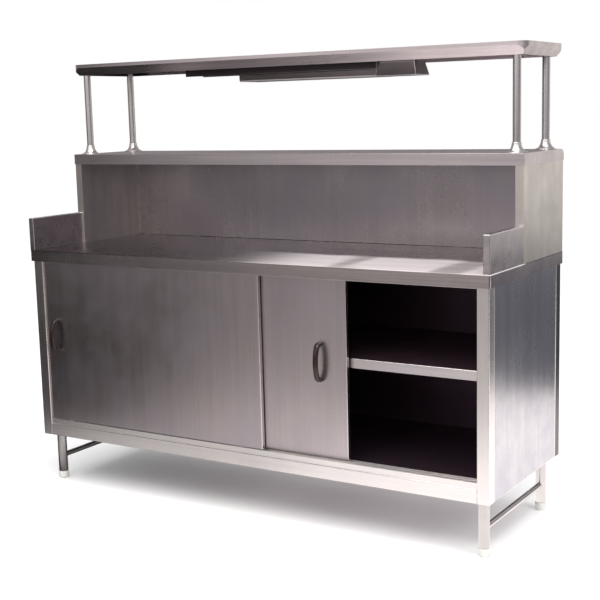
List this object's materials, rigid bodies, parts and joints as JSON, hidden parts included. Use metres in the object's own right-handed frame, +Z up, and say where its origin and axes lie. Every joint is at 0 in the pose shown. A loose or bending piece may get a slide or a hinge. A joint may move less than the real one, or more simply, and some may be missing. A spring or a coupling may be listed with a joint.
{
  "type": "serving counter",
  "caption": "Stainless steel serving counter: sliding-door cabinet on tube legs, worktop with end splashes, open riser, and an overshelf on posts with a food warmer under it.",
  "frame": {"origin": "centre of the bounding box, on the floor under the feet", "axes": "+X along the length to the right as a user sees it, +Y from the doors to the back, +Z up"},
  "size_m": [1.8, 0.635, 1.538],
  "materials": {
    "worktop_steel": "brushed along the length, with a soft shine",
    "panel_steel": "brushed upright, with a soft shine",
    "inner_steel": "dull mill finish",
    "tube_steel": "polished tube",
    "warmer_metal": "dark grey satin",
    "reflector_aluminium": "dull grey outside, brighter at the lip",
    "element_steel": "dark oxide on a sheathed rod",
    "ceramic": "glazed ceramic",
    "dark_plastic": "dark brown moulded resin",
    "black_plastic": "moulded black",
    "white_plastic": "moulded off-white nylon",
    "board": "plain board"
  },
  "bodies": {
    "counter": {"worktop_pan": "worktop_steel", "splash_left": "worktop_steel", "splash_right": "worktop_steel", "riser_top_pan": "worktop_steel", "overshelf_pan": "worktop_steel", "middle_shelf": "worktop_steel", "riser_back_panel": "panel_steel", "riser_side_left": "panel_steel", "riser_side_right": "panel_steel", "side_panel_left": "panel_steel", "side_panel_right": "panel_steel", "back_panel": "panel_steel", "front_posts": "panel_steel", "rear_posts": "panel_steel", "bottom_rail": "panel_steel", "riser_channels": "inner_steel", "overshelf_channels": "inner_steel", "bottom_deck": "inner_steel", "shelf_supports": "inner_steel", "deck_channels": "inner_steel", "leg_plates": "inner_steel", "bottom_track": "inner_steel", "head_track": "inner_steel", "post_tie_rods": "inner_steel", "warmer_screws": "inner_steel", "warmer_hangers": "inner_steel", "overshelf_posts": "tube_steel", "post_flanges": "tube_steel", "leg_front_left": "tube_steel", "leg_front_right": "tube_steel", "leg_rear_left": "tube_steel", "leg_rear_right": "tube_steel", "cross_rails": "tube_steel", "warmer_channel": "warmer_metal", "warmer_terminal_box": "warmer_metal", "warmer_end_cap": "warmer_metal", "warmer_reflector": "reflector_aluminium", "heating_element": "element_steel", "element_holders": "ceramic", "terminal_block": "ceramic", "cable_gland": "black_plastic", "foot_inserts": "black_plastic", "worktop_core_board": "board"},
    "left_door": {"left_door_skin": "panel_steel", "left_door_liner": "inner_steel", "left_door_handle": "dark_plastic", "left_door_runners": "inner_steel"},
    "right_door": {"right_door_skin": "panel_steel", "right_door_liner": "inner_steel", "right_door_handle": "dark_plastic", "right_door_runners": "inner_steel"},
    "left_wheel_outer": {"left_wheel_outer": "white_plastic"},
    "left_wheel_inner": {"left_wheel_inner": "white_plastic"},
    "right_wheel_inner": {"right_wheel_inner": "white_plastic"},
    "right_wheel_outer": {"right_wheel_outer": "white_plastic"},
    "foot_front_left": {"foot_front_left": "white_plastic"},
    "foot_front_right": {"foot_front_right": "white_plastic"},
    "foot_rear_left": {"foot_rear_left": "white_plastic"},
    "foot_rear_right": {"foot_rear_right": "white_plastic"}
  },
  "joints": [
    {"name": "left_door_slide", "type": "slide", "parent": "counter", "child": "left_door", "axis": [1, 0, 0], "range_m": [0, 0.209]},
    {"name": "right_door_slide", "type": "slide", "parent": "counter", "child": "right_door", "axis": [1, 0, 0], "range_m": [-0.209, 0.45]},
    {"name": "left_wheel_outer_spin", "type": "hinge", "parent": "left_door", "child": "left_wheel_outer", "pos_m": [-0.762, -0.272, 0.2493], "axis": [0, 1, 0], "continuous": true},
    {"name": "left_wheel_inner_spin", "type": "hinge", "parent": "left_door", "child": "left_wheel_inner", "pos_m": [-0.004, -0.272, 0.2493], "axis": [0, 1, 0], "continuous": true},
    {"name": "right_wheel_inner_spin", "type": "hinge", "parent": "right_door", "child": "right_wheel_inner", "pos_m": [-0.446, -0.2525, 0.2493], "axis": [0, 1, 0], "continuous": true},
    {"name": "right_wheel_outer_spin", "type": "hinge", "parent": "right_door", "child": "right_wheel_outer", "pos_m": [0.312, -0.2525, 0.2493], "axis": [0, 1, 0], "continuous": true},
    {"name": "foot_front_left_screw", "type": "slide", "parent": "counter", "child": "foot_front_left", "axis": [0, 0, -1], "range_m": [0, 0.02]},
    {"name": "foot_front_right_screw", "type": "slide", "parent": "counter", "child": "foot_front_right", "axis": [0, 0, -1], "range_m": [0, 0.02]},
    {"name": "foot_rear_left_screw", "type": "slide", "parent": "counter", "child": "foot_rear_left", "axis": [0, 0, -1], "range_m": [0, 0.02]},
    {"name": "foot_rear_right_screw", "type": "slide", "parent": "counter", "child": "foot_rear_right", "axis": [0, 0, -1], "range_m": [0, 0.02]}
  ],
  "couplings": [
    {"joint": "left_wheel_outer_spin", "follows": "left_door_slide", "rad_per_m": 58.824},
    {"joint": "left_wheel_inner_spin", "follows": "left_door_slide", "rad_per_m": 58.824},
    {"joint": "right_wheel_inner_spin", "follows": "right_door_slide", "rad_per_m": 58.824},
    {"joint": "right_wheel_outer_spin", "follows": "right_door_slide", "rad_per_m": 58.824}
  ]
}
